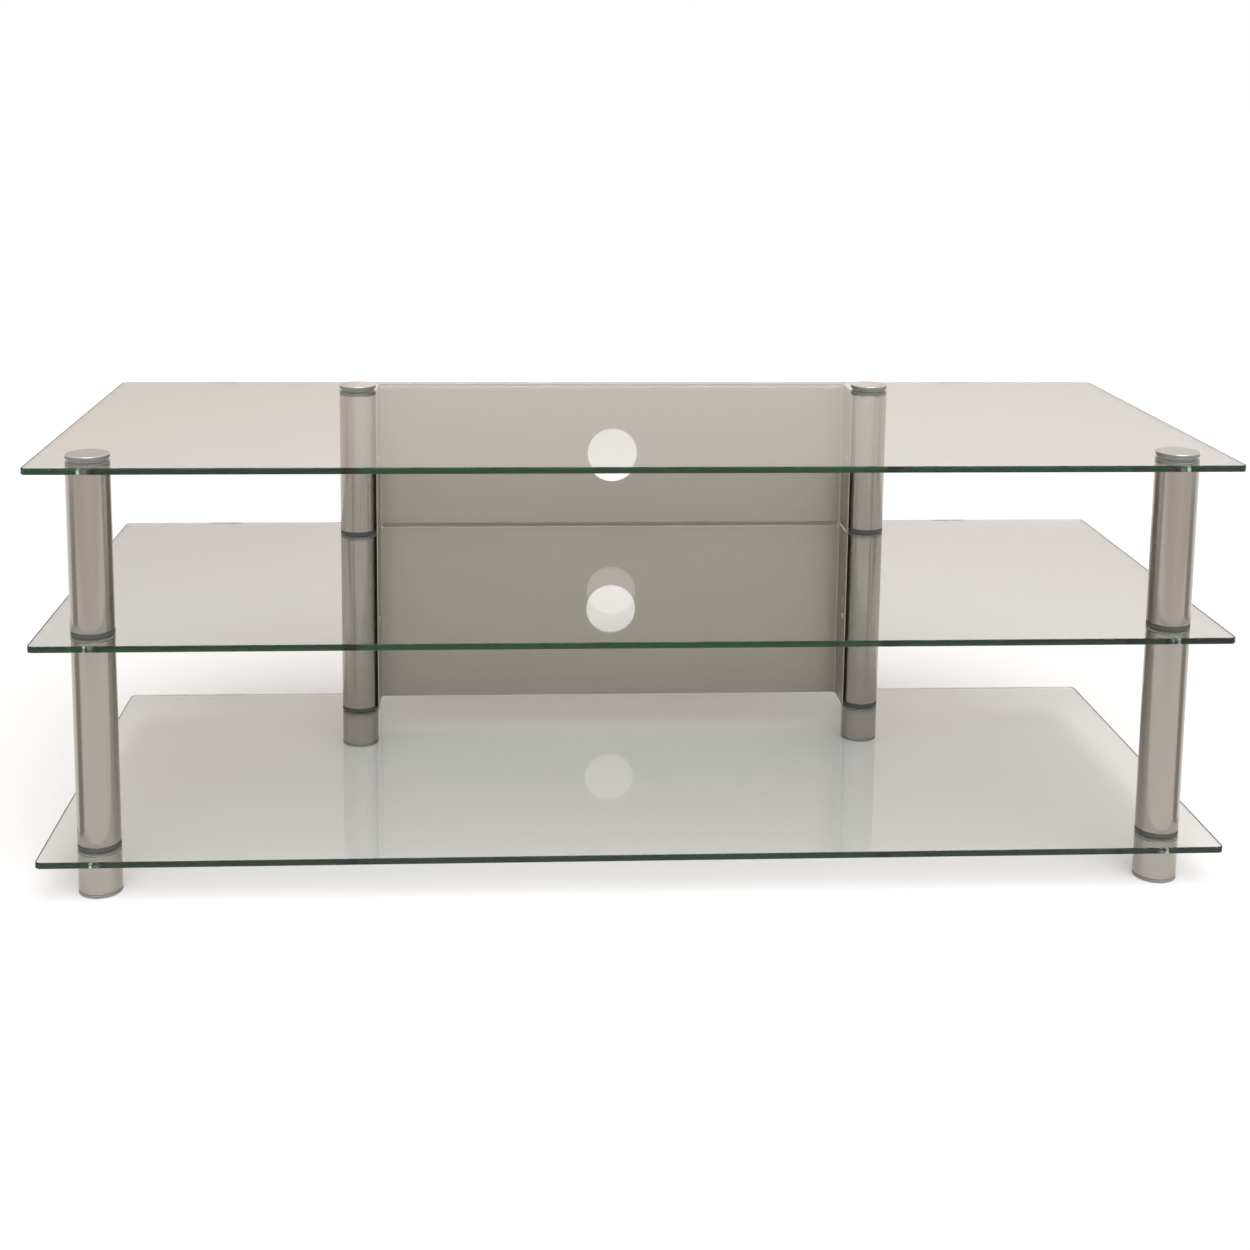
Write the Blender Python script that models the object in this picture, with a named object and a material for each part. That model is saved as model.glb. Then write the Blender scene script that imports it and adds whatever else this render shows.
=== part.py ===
"""Low television stand: three clear glass shelves clamped on four tubular metal posts.

Each post is a stack of plugged tubes that a long bolt draws together between a foot and a flat cap,
with the glass held between the tube ends. Two folded steel panels with cable holes close the back.
Metres, +Z up, front towards -Y, origin on the floor under the middle of the shelves.
"""

import math

import bmesh
import bpy
from mathutils import Matrix

for leftover in list(bpy.data.objects):
    bpy.data.objects.remove(leftover, do_unlink=True)

# Shelves and the heights between them
SHELF_WIDTH = 1.100
SHELF_DEPTH = 0.450
GLASS_THICKNESS = 0.006
SHELF_CORNER_RADIUS = 0.006
EDGE_ARRIS = 0.0008
FOOT_HEIGHT = 0.038
LOWER_BAY_HEIGHT = 0.197
UPPER_BAY_HEIGHT = 0.156

# Where the posts stand
FRONT_POST_SIDE_INSET = 0.051
FRONT_POST_FRONT_INSET = 0.039
REAR_POST_SPACING = 0.569
REAR_POST_BACK_INSET = 0.048

# Post tubes and their plugs
POST_DIAMETER = 0.040
TUBE_WALL = 0.0015
RING_THICKNESS = 0.004
COLLAR_THICKNESS = 0.001
FOOT_FLANGE_THICKNESS = 0.003
PLUG_DEPTH = 0.010
FOOT_PLUG_DEPTH = 0.012

# Clamping bolt, cap and the washer under it
BOLT_DIAMETER = 0.008
BOLT_HEAD_WIDTH = 0.013
BOLT_HEAD_HEIGHT = 0.0053
BOLT_HEAD_RECESS = 0.001
CAP_DIAMETER = 0.040
CAP_THICKNESS = 0.004
CAP_SKIN = 0.002
CAP_CHAMFER = 0.0008
BOSS_DIAMETER = 0.014
BOSS_END_RECESS = 0.001
WASHER_THICKNESS = 0.001
WASHER_MARGIN = 0.002

# Back panels and their screws
PANEL_SETBACK = 0.015
PANEL_SHEET = 0.0012
PANEL_BEND_RADIUS = 0.002
PANEL_LIP = 0.010
PANEL_CORNER_RELIEF = 0.002
PANEL_FLANGE_REACH = 0.010
PANEL_CLEARANCE = 0.001
CABLE_HOLE_DIAMETER = 0.056
SCREW_DIAMETER = 0.004
SCREW_LENGTH = 0.010
SCREW_HEAD_DIAMETER = 0.0078
SCREW_HEAD_HEIGHT = 0.0026
SCREW_HEAD_RIM = 0.0013
SCREW_CROWN_DIAMETER = 0.0055

# Fits: faces that bear on each other, and round pieces in their holes (on the radius)
SEAT_GAP = 0.0003
PLUG_CLEARANCE = 0.0003
BOLT_CLEARANCE = 0.0005
BOSS_CLEARANCE = 0.001
POCKET_CLEARANCE = 0.001
SCREW_CLEARANCE = 0.0003

# Fineness of the round faces
POST_FACETS = 20
HEXAGON = 6
BOLT_FACETS = 12
SCREW_FACETS = 12
CABLE_HOLE_FACETS = 36
CORNER_STEPS = 5
BEND_STEPS = 3
SMOOTH_ANGLE = math.radians(30)
WELD = 0.000001

# Heights of the stack, from the floor up
BOTTOM_GLASS = FOOT_HEIGHT
MIDDLE_GLASS = BOTTOM_GLASS + GLASS_THICKNESS + LOWER_BAY_HEIGHT
TOP_GLASS = MIDDLE_GLASS + GLASS_THICKNESS + UPPER_BAY_HEIGHT
WASHER_BASE = TOP_GLASS + GLASS_THICKNESS + SEAT_GAP
CAP_BASE = WASHER_BASE + WASHER_THICKNESS + SEAT_GAP
CAP_TOP = CAP_BASE + CAP_THICKNESS

# Radii shared by the pieces of a post
POST_RADIUS = POST_DIAMETER / 2
BORE_RADIUS = POST_RADIUS - TUBE_WALL
SPIGOT_RADIUS = BORE_RADIUS - PLUG_CLEARANCE
BOLT_RADIUS = BOLT_DIAMETER / 2
BOLT_HOLE_RADIUS = BOLT_RADIUS + BOLT_CLEARANCE
BOLT_HEAD_RADIUS = BOLT_HEAD_WIDTH / math.sqrt(3)
POCKET_RADIUS = BOLT_HEAD_RADIUS + POCKET_CLEARANCE
POCKET_DEPTH = BOLT_HEAD_RECESS + BOLT_HEAD_HEIGHT + SEAT_GAP
BOSS_RADIUS = BOSS_DIAMETER / 2
GLASS_HOLE_RADIUS = BOSS_RADIUS + BOSS_CLEARANCE
SCREW_HOLE_RADIUS = SCREW_DIAMETER / 2 + SCREW_CLEARANCE

# Post axes, and the panel faces that follow from the rear pair
FRONT_POST_X = SHELF_WIDTH / 2 - FRONT_POST_SIDE_INSET
FRONT_POST_Y = FRONT_POST_FRONT_INSET - SHELF_DEPTH / 2
REAR_POST_X = REAR_POST_SPACING / 2
REAR_POST_Y = SHELF_DEPTH / 2 - REAR_POST_BACK_INSET
POST_AXES = {
    "front_left": (-FRONT_POST_X, FRONT_POST_Y),
    "front_right": (FRONT_POST_X, FRONT_POST_Y),
    "rear_left": (-REAR_POST_X, REAR_POST_Y),
    "rear_right": (REAR_POST_X, REAR_POST_Y),
}
FLANGE_FACE_X = REAR_POST_X - POST_RADIUS - SEAT_GAP
WEB_BACK_Y = SHELF_DEPTH / 2 - PANEL_SETBACK + PANEL_SHEET
FLANGE_FRONT_Y = REAR_POST_Y - PANEL_FLANGE_REACH
BAYS = {
    "lower": (BOTTOM_GLASS + GLASS_THICKNESS, MIDDLE_GLASS),
    "upper": (MIDDLE_GLASS + GLASS_THICKNESS, TOP_GLASS),
}


def finish(name, colour, roughness, metallic, transmission=0.0):
    """A plain material in the colour of the real surface."""
    made = bpy.data.materials.new(name)
    made.use_nodes = True
    shader = made.node_tree.nodes["Principled BSDF"]
    shader.inputs["Base Color"].default_value = (*colour, 1.0)
    shader.inputs["Roughness"].default_value = roughness
    shader.inputs["Metallic"].default_value = metallic
    shader.inputs["Transmission Weight"].default_value = transmission
    return made


CLEAR_GLASS = finish("clear_glass", (0.78, 0.88, 0.82), 0.02, 0.0, 1.0)
SATIN_TUBE = finish("satin_tube", (0.42, 0.40, 0.37), 0.32, 1.0)
DARK_PLASTIC = finish("dark_plastic", (0.035, 0.036, 0.034), 0.55, 0.0)
GREY_PLASTIC = finish("grey_plastic", (0.30, 0.29, 0.27), 0.50, 0.0)
CLEAR_VINYL = finish("clear_vinyl", (0.72, 0.74, 0.72), 0.35, 0.0, 0.6)
BRIGHT_CHROME = finish("bright_chrome", (0.62, 0.61, 0.59), 0.08, 1.0)
ZINC_STEEL = finish("zinc_steel", (0.50, 0.50, 0.48), 0.35, 1.0)
SATIN_SHEET = finish("satin_sheet", (0.37, 0.35, 0.31), 0.45, 0.8)


def mesh_from(shape, name):
    """Turn a bmesh into a mesh with smooth round sides."""
    mesh = bpy.data.meshes.new(name)
    shape.to_mesh(mesh)
    shape.free()
    mesh.shade_smooth()
    mesh.set_sharp_from_angle(angle=SMOOTH_ANGLE)
    return mesh


def solid_from(shape, name):
    """Turn a closed bmesh into a mesh with every face outwards."""
    bmesh.ops.recalc_face_normals(shape, faces=shape.faces)
    return mesh_from(shape, name)


def place(name, mesh, material, parent=None, location=(0.0, 0.0, 0.0), rotation=(0.0, 0.0, 0.0)):
    """Put a mesh into the scene as one named piece."""
    piece = bpy.data.objects.new(name, mesh)
    if material is not None:
        mesh.materials.clear()
        mesh.materials.append(material)
    bpy.context.scene.collection.objects.link(piece)
    piece.parent = parent
    piece.location = location
    piece.rotation_euler = rotation
    return piece


def turned(name, profile, facets, closed):
    """Revolve (radius, height) points about Z; a closed profile is a ring, an open one ends on the axis."""
    shape = bmesh.new()
    points = [shape.verts.new((radius, 0.0, height)) for radius, height in profile]
    run = points + points[:1] if closed else points
    edges = [shape.edges.new(pair) for pair in zip(run, run[1:])]
    bmesh.ops.spin(
        shape,
        geom=points + edges,
        cent=(0.0, 0.0, 0.0),
        axis=(0.0, 0.0, 1.0),
        angle=2 * math.pi,
        steps=facets,
        use_merge=True,
    )
    bmesh.ops.remove_doubles(shape, verts=shape.verts, dist=WELD)
    return solid_from(shape, name)


def cut(piece, cutter):
    """Take a hidden cutter out of a piece."""
    cutter.hide_render = True
    cutter.display_type = "WIRE"
    modifier = piece.modifiers.new("cut", "BOOLEAN")
    modifier.operation = "DIFFERENCE"
    modifier.solver = "EXACT"
    modifier.object = cutter


def drill(name, holes):
    """One cutter mesh of round bars, each given by radius, facets, length and its place.

    A bar is turned half a facet, so that its corners stay off the edges of the piece it cuts.
    """
    shape = bmesh.new()
    for radius, facets, length, matrix in holes:
        bmesh.ops.create_cone(
            shape,
            cap_ends=True,
            segments=facets,
            radius1=radius,
            radius2=radius,
            depth=length,
            matrix=matrix @ Matrix.Rotation(math.pi / facets, 4, "Z"),
        )
    return place(name, solid_from(shape, name), None)


# Glass shelves: one cut plate with eased edges, drilled for the four posts, used at three heights
def shelf_outline():
    """Corner points of the plate, with each corner an arc."""
    reach_x = SHELF_WIDTH / 2 - SHELF_CORNER_RADIUS
    reach_y = SHELF_DEPTH / 2 - SHELF_CORNER_RADIUS
    outline = []
    for quarter, (side_x, side_y) in enumerate(((1, 1), (-1, 1), (-1, -1), (1, -1))):
        for step in range(CORNER_STEPS + 1):
            angle = (quarter + step / CORNER_STEPS) * math.pi / 2
            x = side_x * reach_x + SHELF_CORNER_RADIUS * math.cos(angle)
            y = side_y * reach_y + SHELF_CORNER_RADIUS * math.sin(angle)
            outline.append((x, y, 0.0))
    return outline


def shelf_plate():
    """The plate's outline, raised to the glass thickness."""
    shape = bmesh.new()
    base = shape.faces.new([shape.verts.new(point) for point in shelf_outline()])
    raised = bmesh.ops.extrude_face_region(shape, geom=[base])["geom"]
    top = [item for item in raised if isinstance(item, bmesh.types.BMVert)]
    bmesh.ops.translate(shape, verts=top, vec=(0.0, 0.0, GLASS_THICKNESS))
    return solid_from(shape, "shelf_plate")


GLASS_DRILL = drill(
    "glass_drill",
    [
        (GLASS_HOLE_RADIUS, POST_FACETS, 2 * CAP_TOP, Matrix.Translation((x, y, CAP_TOP / 2)))
        for x, y in POST_AXES.values()
    ],
)
PLATE = shelf_plate()
for level, base in (("bottom", BOTTOM_GLASS), ("middle", MIDDLE_GLASS), ("top", TOP_GLASS)):
    shelf = place(f"{level}_shelf", PLATE, CLEAR_GLASS, location=(0.0, 0.0, base))
    arris = shelf.modifiers.new("arris", "BEVEL")
    arris.width = EDGE_ARRIS
    arris.segments = 1
    arris.limit_method = "ANGLE"
    cut(shelf, GLASS_DRILL)


# Posts: tubes with a plug at each end, stacked on the foot, with the glass between them
def tube(name, base, top, post):
    """A length of round tube between two heights."""
    profile = [(POST_RADIUS, top), (POST_RADIUS, base), (BORE_RADIUS, base), (BORE_RADIUS, top)]
    return place(name, turned(name, profile, POST_FACETS, True), SATIN_TUBE, post)


def plug(name, seat, outer, spigot_end, material, post):
    """A flange flush with the tube, whose spigot centres the tube on the bolt."""
    profile = [
        (POST_RADIUS, seat),
        (POST_RADIUS, outer),
        (BOLT_HOLE_RADIUS, outer),
        (BOLT_HOLE_RADIUS, spigot_end),
        (SPIGOT_RADIUS, spigot_end),
        (SPIGOT_RADIUS, seat),
    ]
    return place(name, turned(name, profile, POST_FACETS, True), material, post)


def tube_between(name, segment, base, glass, post):
    """A tube on the seat at one height, ended by a thin collar under the glass above it."""
    collar_top = glass - SEAT_GAP
    collar_base = collar_top - COLLAR_THICKNESS
    tube_top = collar_base - SEAT_GAP
    plug(f"{name}_{segment}_collar", collar_base, collar_top, tube_top - PLUG_DEPTH, CLEAR_VINYL, post)
    return tube(f"{name}_{segment}_tube", base, tube_top, post)


def foot_plug(name, post):
    """The glide under the foot tube, with a pocket from below for the head of the bolt."""
    seat = FOOT_FLANGE_THICKNESS
    spigot_end = seat + FOOT_PLUG_DEPTH
    profile = [
        (POST_RADIUS, seat),
        (POST_RADIUS, 0.0),
        (POCKET_RADIUS, 0.0),
        (POCKET_RADIUS, POCKET_DEPTH),
        (BOLT_HOLE_RADIUS, POCKET_DEPTH),
        (BOLT_HOLE_RADIUS, spigot_end),
        (SPIGOT_RADIUS, spigot_end),
        (SPIGOT_RADIUS, seat),
    ]
    label = f"{name}_foot_plug"
    return place(label, turned(label, profile, POST_FACETS, True), GREY_PLASTIC, post)


def clamp_bolt(name, post):
    """A hexagon head in the foot, and a shank up through every piece into the cap."""
    head_top = BOLT_HEAD_RECESS + BOLT_HEAD_HEIGHT
    shank_top = CAP_TOP - CAP_SKIN - SEAT_GAP
    shape = bmesh.new()
    rings = []
    for radius, facets, height in (
        (BOLT_HEAD_RADIUS, HEXAGON, BOLT_HEAD_RECESS),
        (BOLT_HEAD_RADIUS, HEXAGON, head_top),
        (BOLT_RADIUS, BOLT_FACETS, head_top),
        (BOLT_RADIUS, BOLT_FACETS, shank_top),
    ):
        lift = Matrix.Translation((0.0, 0.0, height))
        corners = bmesh.ops.create_circle(shape, segments=facets, radius=radius, matrix=lift)["verts"]
        rings.append([shape.edges.get(pair) for pair in zip(corners, corners[1:] + corners[:1])])
    for lower, upper in zip(rings, rings[1:]):
        bmesh.ops.bridge_loops(shape, edges=lower + upper)
    bmesh.ops.edgeloop_fill(shape, edges=rings[0])
    bmesh.ops.edgeloop_fill(shape, edges=rings[-1])
    label = f"{name}_clamp_bolt"
    return place(label, solid_from(shape, label), ZINC_STEEL, post)


def cap_and_washer(name, post):
    """A flat disc over the top glass, with a threaded boss through it, on a soft washer."""
    washer_radius = CAP_DIAMETER / 2 - WASHER_MARGIN
    washer_top = WASHER_BASE + WASHER_THICKNESS
    washer = [
        (washer_radius, washer_top),
        (washer_radius, WASHER_BASE),
        (GLASS_HOLE_RADIUS, WASHER_BASE),
        (GLASS_HOLE_RADIUS, washer_top),
    ]
    label = f"{name}_cap_washer"
    place(label, turned(label, washer, POST_FACETS, True), CLEAR_VINYL, post)

    rim = CAP_DIAMETER / 2
    boss_end = TOP_GLASS + BOSS_END_RECESS
    cap = [
        (0.0, CAP_TOP),
        (rim - CAP_CHAMFER, CAP_TOP),
        (rim, CAP_TOP - CAP_CHAMFER),
        (rim, CAP_BASE),
        (BOSS_RADIUS, CAP_BASE),
        (BOSS_RADIUS, boss_end),
        (BOLT_HOLE_RADIUS, boss_end),
        (BOLT_HOLE_RADIUS, CAP_TOP - CAP_SKIN),
        (0.0, CAP_TOP - CAP_SKIN),
    ]
    label = f"{name}_top_cap"
    place(label, turned(label, cap, POST_FACETS, False), BRIGHT_CHROME, post)


TUBES = {}
for corner, (x, y) in POST_AXES.items():
    axis = bpy.data.objects.new(f"{corner}_post", None)
    bpy.context.scene.collection.objects.link(axis)
    axis.location = (x, y, 0.0)
    foot_plug(corner, axis)
    tube_between(corner, "foot", FOOT_FLANGE_THICKNESS + SEAT_GAP, BOTTOM_GLASS, axis)
    for segment, (glass_top, glass_above) in BAYS.items():
        ring_base = glass_top + SEAT_GAP
        ring_top = ring_base + RING_THICKNESS
        spigot_top = ring_top + SEAT_GAP + PLUG_DEPTH
        plug(f"{corner}_{segment}_ring", ring_top, ring_base, spigot_top, DARK_PLASTIC, axis)
        TUBES[corner, segment] = tube_between(corner, segment, ring_top + SEAT_GAP, glass_above, axis)
    clamp_bolt(corner, axis)
    cap_and_washer(corner, axis)


# Back panels: folded sheet between the rear posts, one in each bay, screwed to the sides of the tubes
def panel_sheet(base, top):
    """The back of the sheet: a web, side flanges folded forward and lips folded back at top and bottom."""
    outer_bend = PANEL_BEND_RADIUS + PANEL_SHEET
    lip_bend = PANEL_BEND_RADIUS
    straight_base = base + PANEL_SHEET + lip_bend
    straight_top = top - PANEL_SHEET - lip_bend
    quarter = [step / BEND_STEPS * math.pi / 2 for step in range(BEND_STEPS + 1)]

    side = [(FLANGE_FACE_X, FLANGE_FRONT_Y)]
    for angle in quarter:
        x = FLANGE_FACE_X - outer_bend * (1 - math.cos(angle))
        y = WEB_BACK_Y - outer_bend * (1 - math.sin(angle))
        side.append((x, y))
    side.append((FLANGE_FACE_X - outer_bend - PANEL_CORNER_RELIEF, WEB_BACK_Y))
    plan = side + [(-x, y) for x, y in reversed(side)]

    shape = bmesh.new()
    lower = [shape.verts.new((x, y, straight_base)) for x, y in plan]
    upper = [shape.verts.new((x, y, straight_top)) for x, y in plan]
    for index in range(len(plan) - 1):
        shape.faces.new((lower[index], lower[index + 1], upper[index + 1], upper[index]))

    last = len(side) - 1
    for columns in (range(last), range(last + 2, len(plan))):
        foot = [shape.verts.new((*plan[index], base)) for index in columns]
        head = [shape.verts.new((*plan[index], top)) for index in columns]
        for step, index in enumerate(columns[:-1]):
            shape.faces.new((foot[step], foot[step + 1], lower[index + 1], lower[index]))
            shape.faces.new((upper[index], upper[index + 1], head[step + 1], head[step]))

    for edge, height, away in (
        ((lower[last + 1], lower[last]), straight_base, -1),
        ((upper[last], upper[last + 1]), straight_top, 1),
    ):
        fold = []
        for angle in quarter[1:]:
            y = WEB_BACK_Y + lip_bend * (1 - math.cos(angle))
            fold.append((y, height + away * lip_bend * math.sin(angle)))
        fold.append((WEB_BACK_Y + PANEL_LIP, height + away * lip_bend))
        for y, z in fold:
            following = [shape.verts.new((corner.co.x, y, z)) for corner in edge]
            shape.faces.new((edge[0], edge[1], following[1], following[0]))
            edge = following
    return mesh_from(shape, "panel_sheet")


def face_along(axis, x, y, z):
    """Place for a bar along X or Y with its middle at a point."""
    turn = Matrix.Rotation(math.pi / 2, 4, "Y" if axis == "X" else "X")
    return Matrix.Translation((x, y, z)) @ turn


def pan_screw(name, side, height):
    """A pan-head screw from inside the panel's flange into the wall of the post's tube."""
    head = SCREW_HEAD_DIAMETER / 2
    shank = SCREW_DIAMETER / 2
    profile = [
        (0.0, SCREW_HEAD_HEIGHT),
        (SCREW_CROWN_DIAMETER / 2, SCREW_HEAD_HEIGHT),
        (head, SCREW_HEAD_RIM),
        (head, 0.0),
        (shank, 0.0),
        (shank, -SCREW_LENGTH),
        (0.0, -SCREW_LENGTH),
    ]
    seat_x = side * (FLANGE_FACE_X - PANEL_SHEET - SEAT_GAP)
    return place(
        name,
        turned(name, profile, SCREW_FACETS, False),
        ZINC_STEEL,
        location=(seat_x, REAR_POST_Y, height),
        rotation=(0.0, -side * math.pi / 2, 0.0),
    )


for segment, (glass_top, glass_above) in BAYS.items():
    base = glass_top + PANEL_CLEARANCE
    top = glass_above - PANEL_CLEARANCE
    middle = (base + top) / 2
    panel = place(f"{segment}_back_panel", panel_sheet(base, top), SATIN_SHEET)
    sheet = panel.modifiers.new("sheet", "SOLIDIFY")
    sheet.thickness = PANEL_SHEET
    sheet.offset = -1.0
    sheet.use_even_offset = True
    punch = drill(
        f"{segment}_panel_punch",
        [
            (
                CABLE_HOLE_DIAMETER / 2,
                CABLE_HOLE_FACETS,
                2 * PANEL_SETBACK,
                face_along("Y", 0.0, WEB_BACK_Y, middle),
            ),
            (
                SCREW_HOLE_RADIUS,
                SCREW_FACETS,
                REAR_POST_SPACING,
                face_along("X", 0.0, REAR_POST_Y, middle),
            ),
        ],
    )
    cut(panel, punch)
    for corner, side in (("rear_left", -1), ("rear_right", 1)):
        pilot = drill(
            f"{corner}_{segment}_pilot",
            [
                (
                    SCREW_HOLE_RADIUS,
                    SCREW_FACETS,
                    POST_RADIUS,
                    face_along("X", side * (REAR_POST_X - POST_RADIUS), REAR_POST_Y, middle),
                )
            ],
        )
        cut(TUBES[corner, segment], pilot)
        pan_screw(f"{corner}_{segment}_screw", side, middle)
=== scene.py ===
"""Looks of a low television stand with glass shelves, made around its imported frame."""

import math

import bmesh
import bpy
import numpy as np
from mathutils import Matrix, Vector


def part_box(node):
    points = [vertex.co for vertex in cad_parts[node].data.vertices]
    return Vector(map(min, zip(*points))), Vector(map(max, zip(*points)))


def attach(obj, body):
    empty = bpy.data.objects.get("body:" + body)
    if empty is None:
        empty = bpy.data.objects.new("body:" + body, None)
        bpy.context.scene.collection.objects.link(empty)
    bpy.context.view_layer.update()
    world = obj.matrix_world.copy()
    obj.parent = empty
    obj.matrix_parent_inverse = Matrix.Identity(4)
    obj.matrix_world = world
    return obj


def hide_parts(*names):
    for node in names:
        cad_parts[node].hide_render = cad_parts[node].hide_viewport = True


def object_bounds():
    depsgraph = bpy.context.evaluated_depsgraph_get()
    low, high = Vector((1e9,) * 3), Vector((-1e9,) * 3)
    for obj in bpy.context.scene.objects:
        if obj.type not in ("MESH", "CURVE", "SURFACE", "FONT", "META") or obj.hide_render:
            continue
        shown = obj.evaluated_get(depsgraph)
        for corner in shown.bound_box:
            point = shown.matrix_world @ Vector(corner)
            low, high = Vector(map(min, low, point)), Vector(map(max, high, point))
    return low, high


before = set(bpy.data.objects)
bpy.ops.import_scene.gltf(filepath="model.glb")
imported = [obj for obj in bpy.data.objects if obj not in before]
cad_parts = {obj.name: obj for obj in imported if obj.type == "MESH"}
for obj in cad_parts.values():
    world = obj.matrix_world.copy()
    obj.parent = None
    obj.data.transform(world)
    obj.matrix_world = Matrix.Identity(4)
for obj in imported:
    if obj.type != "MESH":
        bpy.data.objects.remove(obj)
cad_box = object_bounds()

# Glass shelves: three plates of clear float glass with slightly rounded corners. The edges are ground
# flat, eased and polished, and the long path through the plate shows there as dark green. Each plate is
# drilled for the four posts, and the bolts in the posts clamp it between the ends of the tubes.
GLASS_CORNER = 0.006
GLASS_ARRIS = 0.0008
GLASS_HOLE = 0.008
GLASS_INDEX = 1.5
GLASS_CLEAR = (0.965, 0.94, 0.94, 1.0)
GLASS_GREEN = (0.083, 0.475, 0.283, 1.0)
GLASS_DENSITY = 12.0
GLASS_SHADE = (0.62, 0.63, 0.62, 1.0)
GLASS_BOUNCES = 24
WIPES_PER_METRE = 7.0
WIPE_STRETCH = (1.0, 2.5, 1.0)
WIPE_HAZE = 0.03
EASE_SEGMENTS = 3
EASE_ANGLE = math.radians(60)
WELD = 1e-6
CORNERS = ("front_left", "front_right", "rear_left", "rear_right")


def box_of(node):
    """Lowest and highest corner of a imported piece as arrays."""
    low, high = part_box(node)
    return np.array(low), np.array(high)


POST_AXES = {corner: sum(box_of(f"{corner}_foot_plug"))[:2] / 2 for corner in CORNERS}


class Wire:
    """A shader socket that takes part in sums: each operator on it adds a Math node."""

    def __init__(self, socket):
        self.socket = socket

    def node(self, kind, settings, sockets, output=0):
        """Add any node to the same tree: its settings first, then the values or wires of its sockets."""
        tree = self.socket.id_data
        made = tree.nodes.new(kind)
        for name, value in settings.items():
            setattr(made, name, value)
        for name, value in sockets.items():
            if isinstance(value, Wire):
                tree.links.new(value.socket, made.inputs[name])
            else:
                made.inputs[name].default_value = value
        return Wire(made.outputs[output])

    def math(self, operation, first, second):
        """A Math node on two values or wires."""
        return self.node("ShaderNodeMath", {"operation": operation}, {0: first, 1: second})

    def __add__(self, other):
        return self.math("ADD", self, other)

    def __sub__(self, other):
        return self.math("SUBTRACT", self, other)

    def __rsub__(self, other):
        return self.math("SUBTRACT", other, self)

    def __mul__(self, other):
        return self.math("MULTIPLY", self, other)

    __radd__ = __add__
    __rmul__ = __mul__

    def feed(self, socket):
        """Link this wire to a node's input."""
        self.socket.id_data.links.new(self.socket, socket)

    def noise(self, scale, detail, stretch=(1.0, 1.0, 1.0)):
        """Soft noise at a number of features per metre, drawn out along the axes of small stretch."""
        laid = self.node("ShaderNodeMapping", {}, {"Vector": self, "Scale": stretch})
        sockets = {"Vector": laid, "Scale": scale, "Detail": detail}
        return self.node("ShaderNodeTexNoise", {}, sockets)

    def blend(self, first, second):
        """A colour between two colours or wires, with this wire as the share of the second."""
        ends = [end if isinstance(end, Wire) else (*end, 1.0) for end in (first, second)]
        return self.node("ShaderNodeMix", {"data_type": "RGBA"}, {0: self, 6: ends[0], 7: ends[1]}, 2)

    def ramp(self, low, high):
        """Rises smoothly from 0 to 1 while this wire goes from low to high."""
        sockets = {"Value": self, "From Min": low, "From Max": high}
        return self.node("ShaderNodeMapRange", {"interpolation_type": "SMOOTHSTEP"}, sockets)

    def between(self, low, high):
        """A value that goes from low to high while this wire goes from 0 to 1."""
        return self * (high - low) + low

    def bump(self, depth, strength):
        """A normal tilted by this wire as a height, at most so many metres deep."""
        sockets = {"Height": self, "Distance": depth, "Strength": strength}
        return self.node("ShaderNodeBump", {}, sockets)


def new_finish(name):
    """A material, its shader and the wire of its object coordinates."""
    made = bpy.data.materials.new(name)
    made.use_nodes = True
    shader = made.node_tree.nodes["Principled BSDF"]
    place = Wire(made.node_tree.nodes.new("ShaderNodeTexCoord").outputs["Object"])
    return made, shader, place


def polished_glass():
    """Clear green glass with a faint haze from wiping, which lets the lamps through a little dimmed."""
    made, shader, place = new_finish("polished_glass")
    tree = made.node_tree
    shader.inputs["Base Color"].default_value = GLASS_CLEAR
    shader.inputs["Transmission Weight"].default_value = 1.0
    shader.inputs["IOR"].default_value = GLASS_INDEX
    haze = place.noise(WIPES_PER_METRE, 4.0, WIPE_STRETCH)
    (haze * WIPE_HAZE).feed(shader.inputs["Roughness"])
    absorption = tree.nodes.new("ShaderNodeVolumeAbsorption")
    absorption.inputs["Color"].default_value = GLASS_GREEN
    absorption.inputs["Density"].default_value = GLASS_DENSITY
    lamp_ray = Wire(tree.nodes.new("ShaderNodeLightPath").outputs["Is Shadow Ray"])
    clear = lamp_ray.node("ShaderNodeBsdfTransparent", {}, {"Color": GLASS_SHADE})
    both = lamp_ray.node("ShaderNodeMixShader", {}, {0: lamp_ray, 1: Wire(shader.outputs[0]), 2: clear})
    output = tree.nodes["Material Output"]
    both.feed(output.inputs["Surface"])
    Wire(absorption.outputs[0]).feed(output.inputs["Volume"])
    return made


def ruled(start, *spans):
    """Grid lines from a start through spans of (end, steps), evenly spaced within each span."""
    lines = np.array([start])
    for end, steps in spans:
        lines = np.concatenate([lines, np.linspace(lines[-1], end, steps + 1)[1:]])
    return lines


def mirrored(half):
    """Grid lines from zero up, repeated on the other side of zero."""
    return np.concatenate([-half[:0:-1], half])


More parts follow.
